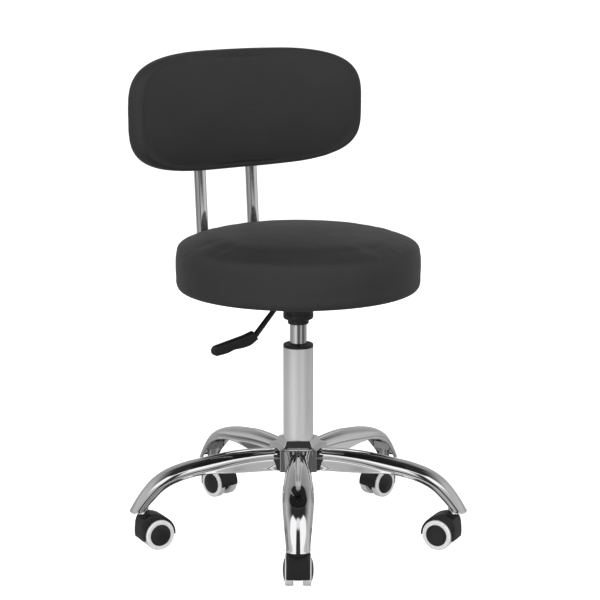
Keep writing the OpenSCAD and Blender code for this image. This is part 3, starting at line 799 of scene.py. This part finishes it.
# A leg at places along its reach: ridge height, depth of the section, drop and half width of its
# shoulder, half width of its open lower edge, and height of the rib
LEG_SHAPE = [
    (41, 148.9, 31, 12.5, 15.0, 21.5, 2.0),
    (62, 149.8, 31, 13, 16.0, 21.8, 2.7),
    (90, 150.2, 30.4, 14, 18.0, 22.6, 2.7),
    (119, 149.6, 28.2, 15.5, 20.3, 23.5, 2.2),
    (150, 146.4, 22.6, 16.0, 22.2, 24.5, 1.1),
    (171, 143.2, 19.0, 15.4, 23.0, 24.7, 0.2),
    (187, 140.6, 17.6, 14.6, 23.2, 24.6, 0.0),
    (202, 137.1, 17.4, 13.9, 23.1, 24.4, 0.0),
    (217, 132.8, 17.4, 13.3, 22.8, 24.2, 0.0),
    (233, 126.0, 17.6, 12.9, 22.0, 23.5, 0.0),
    (248, 116.5, 17.6, 12.5, 20.9, 22.5, 0.0),
    (264, 100.5, 17.2, 12.2, 19.4, 21.0, 0.0),
    (279, 80.5, 16.2, 11.8, 18.2, 19.6, 0.0),
    (287.2, 67.0, 15.4, 11.4, 17.6, 18.8, 0.0)]
WALL = 2.0
TIP_CUT = 48.0


def leg_section(drop, depth, shoulder, edge, rib):
    """Half a section, from the ridge out and down to the lip, as (across, down from the ridge)."""
    power = 2.15
    rib_end = 0.10 + 0.045 * rib
    crown = [0, 0.035, 0.07, 0.10, 0.13, 0.16, 0.19, 0.22, 0.26]
    start = asin(0.34 ** (power / 2))
    crown += [sin(a) ** (2 / power) for a in np.linspace(start, pi / 2, 17)]
    out = []
    for u in crown:
        down = drop * (1 - max(1 - u ** power, 0) ** (1 / power))
        out.append((shoulder * u, rib * blend01((rib_end - u) / 0.085) - down))
    # the crease between the crown and the flared side wall
    out += [(shoulder - 0.30, -drop - 0.50), (shoulder - 0.42, -drop - 0.95),
            (shoulder - 0.22, -drop - 1.40), (shoulder + 0.10, -drop - 1.80)]
    for t in (0.25, 0.5, 0.75, 0.93):
        out.append((shoulder + 0.10 + (edge - shoulder) * t, -drop - 1.8 - (depth - drop - 1.8) * t))
    out += [(edge + 0.2, -depth + 0.1), (edge, -depth)]
    return np.array(out)


def inner_section(outer):
    """The outer half section moved in by the wall's thickness."""
    slope = np.gradient(outer, axis=0)
    normal = np.column_stack([slope[:, 1], -slope[:, 0]])
    normal /= np.linalg.norm(normal, axis=1)[:, None]
    inner = outer + normal * WALL
    inner[:, 0] = np.clip(inner[:, 0], 0, outer[:, 0].max() - WALL)
    inner[0, 0] = 0
    inner[-1, 1] = outer[-1, 1]
    return inner


def leg_angle(i):
    """The direction of a leg from the column, in radians."""
    stem = JOINTS[f"caster_{i}_swivel"]["pos_m"]
    return atan2(stem[1], stem[0])


def build_leg(i):
    """A pressed channel with its open side down, lofted along LEG_SHAPE."""
    shape = np.array(LEG_SHAPE, float)
    run = run_length(shape[:, :2])
    places = np.linspace(0, run[-1], 78)
    stations = through(np.column_stack([run, shape]), places)
    tangent = np.gradient(stations[:, :2], axis=0)
    tangent /= np.linalg.norm(tangent, axis=1)[:, None]
    tangent[0] = (1, 0)
    # over its last stretch the sections lean until the last one lies level, as the tip is cut
    lean = blend01((places - run[-1] + TIP_CUT) / TIP_CUT)
    rings = []
    for (r, z, depth, drop, shoulder, edge, rib), (tr, tz), level in zip(stations, tangent, lean):
        outer = leg_section(drop, depth, shoulder, edge, max(rib, 0))
        inner = inner_section(outer)
        mirror = np.array((-1, 1))
        # one closed loop: over the outside from edge to edge, then back through the inside
        section = np.concatenate([(outer * mirror)[::-1], outer[1:], inner[::-1][:-1], inner * mirror])
        normal_r, normal_z = -tz, tr
        along = level * section[:, 1] * normal_z / max(-tz, 0.3)
        rings.append(np.column_stack([r + normal_r * section[:, 1] + tr * along, section[:, 0],
                                      z + normal_z * section[:, 1] + tz * along]))
    # a small rolled lip round the tip
    shell = np.arange(len(section)) < 2 * len(outer) - 1
    tip = rings[-1]
    for down, spread, forward in ((0.4, 0.012, 0.2), (0.9, 0.04, 0.7), (1.6, 0.05, 0.9)):
        lip = tip - np.array((0, 0, down))
        lip[shell, 0] += forward
        lip[shell, 1] += tip[shell, 1] * spread
        rings.append(lip)
    verts, faces = moved(loft(rings), at(0, 0, 0, (degrees(leg_angle(i)), "Z")))
    build(f"leg_{i}", (verts, reversed_faces(faces)), "base", "polished_chrome",
          replaces=[f"base_leg_{i}"], sharp=60)


def build_hub():
    outer = [(HUB_R, HUB_Z0), (HUB_R, HUB_Z1 - 13.5), (32, HUB_Z1 - 11),
             (COLUMN_R + 2.2, HUB_Z1 - 0.6), (COLUMN_R + 0.9, HUB_Z1)]
    inner = [(COLUMN_R + 0.2, HUB_Z1 - 1.5), (COLUMN_R + 0.2, HUB_Z0), (COLUMN_R + 3, HUB_Z0),
             (COLUMN_R + 3, HUB_Z0 + 33), (HUB_R - 3, HUB_Z0 + 33), (HUB_R - 3, HUB_Z0)]
    first = leg_angle(1)
    rings = []
    for k, (r, z) in enumerate(outer + inner):
        # the collar's rim and the sleeve round the column are round, the rest is five-sided
        five_sided = k < 4 or k >= len(outer) + 4
        ring = []
        for turn in full_turn(40) + LEG_STEP / 2:
            local = (turn + LEG_STEP / 2) % LEG_STEP - LEG_STEP / 2
            reach = r / cos(local) if five_sided else r
            ring.append((reach * cos(first + turn), reach * sin(first + turn), z))
        rings.append(ring)
    verts = np.array([p for ring in rings for p in ring])
    faces = grid_faces(len(rings), 40, wrap_rows=True, wrap_cols=True)
    build("hub", (verts, faces), "base", "polished_chrome", replaces=["base_hub"], sharp=25, bevel=1.1)


for leg in LEGS:
    build_leg(leg)
build_hub()


# --- Column, bushing and socket ---

lift_low, lift_high = cad_box("gas_cylinder")
bush_low, bush_high = cad_box("column_bushing")
socket_low, socket_high = cad_box("lift_socket")
LIFT_R = (lift_high.x - lift_low.x) / 2


def build_bushing():
    top, seat = bush_high.z, column_high.z
    profile = [(COLUMN_R - 1.8, bush_low.z), (COLUMN_R - 1.8, seat), (COLUMN_R - 0.3, seat),
               *arc(COLUMN_R - 1.4, top - 1.4, 1.4, 0, 90, 6), (COLUMN_R - 5, top),
               (COLUMN_R - 5.6, top - 0.9), (COLUMN_R - 7.4, top - 0.9), (COLUMN_R - 8, top),
               (LIFT_R + 1.2, top), (LIFT_R + 0.15, top - 1.1), (LIFT_R + 0.15, bush_low.z)]
    build("column_bushing_ring", lathe(profile, 96, closed=True), "base", "black_plastic",
          replaces=["column_bushing"], sharp=30)


def build_socket():
    low, high = socket_low.z, socket_high.z
    step = low + 8
    r0, r1 = 17.5, 25.0
    profile = [(LIFT_R + 0.1, low + 1), *arc(r0 - 1.2, low + 1.2, 1.2, -100, 0, 5), (r0, step - 1.2),
               (r0 + 0.9, step + 0.2), *arc(r1 - 3.2, step + 3.4, 3.2, -86, 0, 7), (r1, step + 9),
               (r1 - 0.5, step + 9.6), (r1 - 0.5, step + 10.6), (r1, step + 11.2), (r1, high - 1),
               (r1 - 1, high), (LIFT_R + 0.1, high)]
    build("lift_socket_cup", lathe(profile, 96, closed=True), "seat", "black_wheel",
          replaces=["lift_socket"], sharp=30)


build_bushing()
build_socket()


# --- Lever ---

pin_low, pin_high = cad_box("lever_pin")
PIN_X, PIN_Z = (pin_low.x + pin_high.x) / 2, (pin_low.z + pin_high.z) / 2
GRIP_TIP, GRIP_TIP_R = (-161.0, 336.5), 8.5


def build_lever():
    """The rod, thicker beyond its bend, and the boss on the pin."""
    bend_x, elbow_x, inner_x, rod_r = -33.0, -92.0, 5.0, 4.0
    elbow_z = PIN_Z - (bend_x - elbow_x)
    path = fillet([(inner_x, 0, PIN_Z), (bend_x, 0, PIN_Z), (elbow_x, 0, elbow_z),
                   (elbow_x - 22, 0, elbow_z - 4)], 9, 9)
    path.insert(1, Vector((inner_x - 0.9, 0, PIN_Z)))
    radii = [rod_r - 0.8, rod_r]
    radii += [rod_r + 0.9 * float(blend01((bend_x - p[0]) / 14)) for p in path[2:]]
    rod = sweep(path, radii, 28)
    half = 10.5
    boss = lathe([(2.6, -half), (5.9, -half), (6.5, -half + 0.6), (6.5, half - 0.6), (5.9, half),
                  (2.6, half)], 48, closed=True)
    boss = moved(boss, at(PIN_X, 0, PIN_Z, (90, "X")))
    build("lever_bar", join(rod, boss), "lever", "black_paint", replaces=["lever_rod"], sharp=35)


def grip_outline():
    """Side view of the grip as (x, height): root cut square to the rod, finger hollow, round tip."""
    low, high = np.array((-82.5, 345.5)), np.array((-91.5, 359.0))
    tip = np.array(GRIP_TIP)
    slope = radians(11)
    across = GRIP_TIP_R * np.array((-sin(slope), cos(slope)))
    top = through([(0, *high), (1, *(high + (-16, -4.2))), (2, -122, 352.0), (3, *(tip + across))],
                  np.linspace(0, 3, 26))
    angle = degrees(atan2(across[1], across[0]))
    cap = arc(tip[0], tip[1], GRIP_TIP_R, angle, angle + 180, 15)[1:-1]
    under = through([(0, *(tip - across)), (1, -143, 329.6), (2, -128, 333.6), (3, -112, 334.2),
                     (4, -96, 337.2), (5, *low)], np.linspace(0, 5, 26))
    return np.concatenate([top, cap, under])


def inset_outline(points, by):
    """A closed anticlockwise outline moved inwards."""
    before, after = np.roll(points, 1, axis=0), np.roll(points, -1, axis=0)
    tangent = after - before
    tangent /= np.maximum(np.linalg.norm(tangent, axis=1), 1e-6)[:, None]
    inward = np.column_stack([-tangent[:, 1], tangent[:, 0]])
    return points + inward * by


def build_grip():
    rounding = ((6.0, 3.4), (5.85, 2.3), (5.3, 1.2), (4.4, 0.45), (3.2, 0.0))
    sections = [(-y, by) for y, by in rounding] + [(0, 0.0)] + [*reversed(rounding)]
    rings = []
    for y, by in sections:
        ring = inset_outline(grip_outline(), by)
        rings.append(np.column_stack([ring[:, 0], np.full(len(ring), y), ring[:, 1]]))
    build("lever_grip_paddle", loft(rings), "lever", "black_plastic", replaces=["lever_grip"], sharp=50)


build_lever()
build_grip()


# --- Backrest tubes and hardware ---

tube_low, tube_high = cad_box("back_tube_left")
TUBE_R = (tube_high.x - tube_low.x) / 2
TUBE_X = (tube_high.x + tube_low.x) / 2
TUBE_TOP_Y = cad_box("back_plate")[1].y + TUBE_R


def build_tube(side, name):
    """A tube bent up from under the seat and behind the backrest, with a plug at each end."""
    x, low_z, upright_y, n = TUBE_X * side, tube_low.z + TUBE_R, 204.0, 48
    path = fillet([(x, tube_low.y, low_z), (x, upright_y, low_z), (x, upright_y, 465),
                   (x, TUBE_TOP_Y, 640), (x, TUBE_TOP_Y, tube_high.z)], 30, 12)
    bore_r = TUBE_R - 1.5
    # without the two end caps, which are the last faces
    outer, outer_faces = sweep(path, TUBE_R, n)
    inner, inner_faces = sweep(path, bore_r, n)
    verts, faces = join((outer, outer_faces[:-2]), (inner, reversed_faces(inner_faces[:-2])))
    count, last = len(outer), (len(path) - 1) * n
    faces += ring_bridge(0, count, n)
    faces += reversed_faces(ring_bridge(last, count + last, n))
    build(f"back_tube_{name}_chrome", (verts, faces), "seat", "polished_chrome",
          replaces=[f"back_tube_{name}"], sharp=35)
    plug = lathe([(bore_r - 0.1, -8), (bore_r - 0.1, 0.1), (TUBE_R - 0.3, 0.1), (TUBE_R - 0.3, 0.9),
                  *arc(TUBE_R - 3, -0.4, 3, 30, 80, 4), (0, 2.8)], 48)
    for plug_name, place in ((f"tube_plug_{name}", at(x, TUBE_TOP_Y, tube_high.z)),
                             (f"tube_plug_front_{name}", at(x, tube_low.y, low_z, (90, "X")))):
        build(plug_name, moved(plug, place), "seat", "black_plastic", sharp=30)


def hex_bolt(head_r, washer_r, length):
    """A bolt pointing up from its seat at height 0: hexagon head and washer below, shank above."""
    foot, washer_z = -4.0, -1.2
    head = lathe([(0, foot), (head_r * 0.82, foot), (head_r, foot + 0.6), (head_r, washer_z),
                  (0, washer_z)], 6)
    washer = lathe([(0, washer_z), (washer_r - 0.2, washer_z), (washer_r, -1.0), (washer_r, -0.05),
                    (0, -0.05)], 40)
    return join(head, washer, lathe([(0, -0.5), (3, -0.5), (3, length), (0, length)], 24))


def button_screw(head_r, length):
    """A domed screw pointing up with its head's seat at 0 and a hexagon recess in the dome."""
    dome = [(head_r, 0.0), (head_r, -0.5)]
    dome += [(head_r * cos(a), -0.5 - 2.3 * sin(a)) for a in (0.35, 0.65, 0.95)]
    rings = [[(r * cos(t), r * sin(t), z) for t in full_turn(24)] for r, z in dome]
    sixth = pi / 3
    for z in (-2.75, -1.3):
        ring = []
        for t in full_turn(24):
            r = 1.5 / cos((t + sixth / 2) % sixth - sixth / 2)
            ring.append((r * cos(t), r * sin(t), z))
        rings.append(ring)
    head, faces = loft(rings)
    shank = lathe([(0, 0), (2.5, 0), (2.5, length), (0, length)], 24)
    return join((head, reversed_faces(faces)), shank)


def build_set(kind, part, places):
    """Copies of one bolt or screw at several places, as one piece."""
    build(f"{kind}_set", join(*[moved(part, place) for place in places]), "seat", "plain_steel",
          replaces=[f"{kind}s"], sharp=28)


def build_hardware():
    """Bolts and screws, each a head's radius inside its node's box and each turned differently."""
    reach = cad_box("seat_bolts")[1].x - 5.5
    plate_under = cad_box("seat_plate")[1].z - 3
    build_set("seat_bolt", hex_bolt(5.2, 6.3, 12),
              [at(x * reach, y * reach, plate_under, (17 * x + 8 * y, "Z"))
               for x in (-1, 1) for y in (-1, 1)])

    low, high = cad_box("tube_bolts")
    build_set("tube_bolt", hex_bolt(5.0, 5.4, 32),
              [at(x * TUBE_X, y, tube_low.z, (x * 11 + k * 23, "Z"))
               for x in (-1, 1) for k, y in enumerate((low.y + 5.5, high.y - 5.5))])

    low, high = cad_box("back_screws")
    build_set("back_screw", button_screw(4.5, 34),
              [at(x * TUBE_X, TUBE_TOP_Y + TUBE_R, z, (90, "X"), (x * 9 + k * 14, "Z"))
               for x in (-1, 1) for k, z in enumerate((low.z + 4.5, high.z - 4.5))])


build_tube(1, "left")
build_tube(-1, "right")
build_hardware()


# --- Casters ---

WHEEL_R, TYRE_BORE_R = 25.0, 18.0
TYRE_Y, TYRE_W = 14.0, 13.0
HOOD_HALF_W, HOOD_IN_R, HOOD_TOP_Z, HOOD_BACK_Z = 18.5, 26.6, 60.5, 18.5
TRAIL = 20.0


def caster_frame(i):
    """From a caster's own frame, stem on Z and closed back towards +X, to the row frame, in mm."""
    stem = Vector(JOINTS[f"caster_{i}_swivel"]["pos_m"]) / MM
    across = Vector(JOINTS[f"wheel_{i}_a_spin"]["axis"])
    back = across.cross(Vector((0, 0, 1)))
    m = Matrix((back, across, Vector((0, 0, 1)))).transposed().to_4x4()
    m.translation = (stem.x, stem.y, 0)
    return m


def hood_line():
    """Side view of the hood's outer face, from the foot of the closed back to the front lip."""
    back, front = 9.8, -TRAIL - WHEEL_R - 3.3
    top = HOOD_TOP_Z
    return [(back - 0.6, HOOD_BACK_Z), (back - 0.3, HOOD_BACK_Z + 4), (back, WHEEL_R + 2),
            (back, WHEEL_R + 7), *bezier((back, top - 24), (back, top - 7), (3, top), (-8, top), 14),
            *bezier((-8, top), (-28, top), (front, top - 16), (front, WHEEL_R + 1), 30)[1:],
            (front + 0.1, WHEEL_R - 2.5)]


def fender():
    """The hood's shell over both wheels, 2 mm thick at its lip and rounded along its edges."""
    centre = np.array((-TRAIL, WHEEL_R))
    outer = even_line(hood_line(), 1.9)
    away = outer - centre
    inner = centre + away / np.linalg.norm(away, axis=1)[:, None] * HOOD_IN_R
    # low on the closed back the inside point lies level with the outside one
    low_back = (outer[:, 0] > centre[0]) & (outer[:, 1] < 30)
    inner[low_back, 1] = outer[low_back, 1]
    reach = np.sqrt(np.maximum(HOOD_IN_R**2 - (inner[:, 1] - WHEEL_R)**2, 0))
    inner[low_back, 0] = centre[0] + reach[low_back]
    rings = []
    w = HOOD_HALF_W
    for o, q in zip(outer, inner):
        thick = np.linalg.norm(q - o)
        inwards = (q - o) / thick
        edge = min(4.5, 0.7 * thick)
        # (across, down into the wall), over the outside, then across the inside and back up
        section = [(-w + edge, 0), (-w / 2, -0.12), (0, -0.16), (w / 2, -0.12),
                   *arc(w - edge, edge, edge, -90, 0, 5)]
        ring = [(*(o + inwards * down), y) for y, down in section]
        ring += [(*q, y) for y in (w, w / 2, 0, -w / 2, -w)]
        ring += [(*(o + inwards * down), y) for y, down in arc(-w + edge, edge, edge, 180, 250, 4)]
        rings.append([(x, y, z) for x, z, y in ring])
    return loft(rings)


def web():
    """The wall between the wheels, which carries the axle."""
    centre = np.array((-TRAIL, WHEEL_R))
    outline = centre + np.array([*arc(0, 0, 27.2, -18, 148, 36), (-12, 2), (-9, -8), (3, -10),
                                 (16, -9.5)])
    rings = []
    for y, inset in ((-6.5, 0.024), (-5.9, 0.003), (5.9, 0.003), (6.5, 0.024)):
        rings.append([(x, y, z) for x, z in outline + (centre - outline) * inset])
    return loft(rings)


def stem_boss():
    """Round boss that takes the stem, on top of the hood."""
    low, top = HOOD_TOP_Z, 65.0
    return lathe([(5.1, low - 6), (11.5, low - 4), (11, low - 0.6), (9.6, low + 0.4), (9.0, low + 1.6),
                  *arc(8.0, top - 1.0, 1.0, 0, 90, 5), (5.1, top)], 48, closed=True)


def build_caster(i):
    """A hood, and two wheels that mirror each other, each with its tyre."""
    m = caster_frame(i)
    hood = join(fender(), web(), stem_boss())
    build(f"hood_{i}", moved(hood, m), f"caster_{i}", "black_plastic",
          replaces=[f"caster_hood_{i}"], sharp=35)
    for side, sign in (("a", 1), ("b", -1)):
        wheel_frame = m @ at(-TRAIL, 0, WHEEL_R, (-90 * sign, "X"))
        body = f"wheel_{i}_{side}"
        build(f"cap_{i}_{side}", moved(wheel_core(), wheel_frame), body, "black_wheel",
              replaces=[body], sharp=30)
        build(f"tread_{i}_{side}", moved(tyre(), wheel_frame), body, "white_tyre",
              replaces=[f"tyre_{i}_{side}"], sharp=30)


def wheel_core():
    """Hub, disc and domed cap as one turned shape; height is the distance from the middle plane."""
    inner, rim, crown, bore_end, dome_r = 7.5, TYRE_Y + TYRE_W / 2, 24.0, 21.6, 16.3
    seat_r, foot = TYRE_BORE_R - 0.1, rim + 1.1
    profile = [(0, bore_end), (3.1, bore_end), (3.1, inner), (5.4, inner), (6.0, inner + 0.6),
               (6.0, inner + 3), (15.5, inner + 4), (16.2, inner + 0.6), (seat_r, inner + 0.3),
               (seat_r, rim - 0.2), (seat_r - 0.2, rim + 0.5), (17.2, foot), (16.9, foot + 0.05),
               (16.6, foot - 0.2), (dome_r, foot)]
    for r in dome_r * (1 - np.linspace(0.08, 1, 12)[:-1]):
        profile.append((r, foot + (crown - foot) * (1 - (r / dome_r) ** 2.4)))
    return lathe(profile + [(0, crown)], 64)


def tyre():
    """Soft tread with rounded shoulders and two fine grooves."""
    y0, y1, r = TYRE_Y - TYRE_W / 2, TYRE_Y + TYRE_W / 2, WHEEL_R
    profile = [(TYRE_BORE_R, y0 + 0.2), (TYRE_BORE_R + 0.5, y0), (r - 2.6, y0 + 0.1),
               *arc(r - 2.2, y0 + 2.2, 2.2, -80, 0, 6)]
    for middle in (TYRE_Y - 2, TYRE_Y + 2):
        profile += [(r, middle - 0.4), (r - 0.35, middle), (r, middle + 0.4)]
    profile += [*arc(r - 2.2, y1 - 2.2, 2.2, 0, 80, 6), (r - 2.6, y1 - 0.1), (TYRE_BORE_R + 0.9, y1),
                (TYRE_BORE_R, y1 - 0.3)]
    return lathe(profile, 96, closed=True)


for leg in LEGS:
    build_caster(leg)
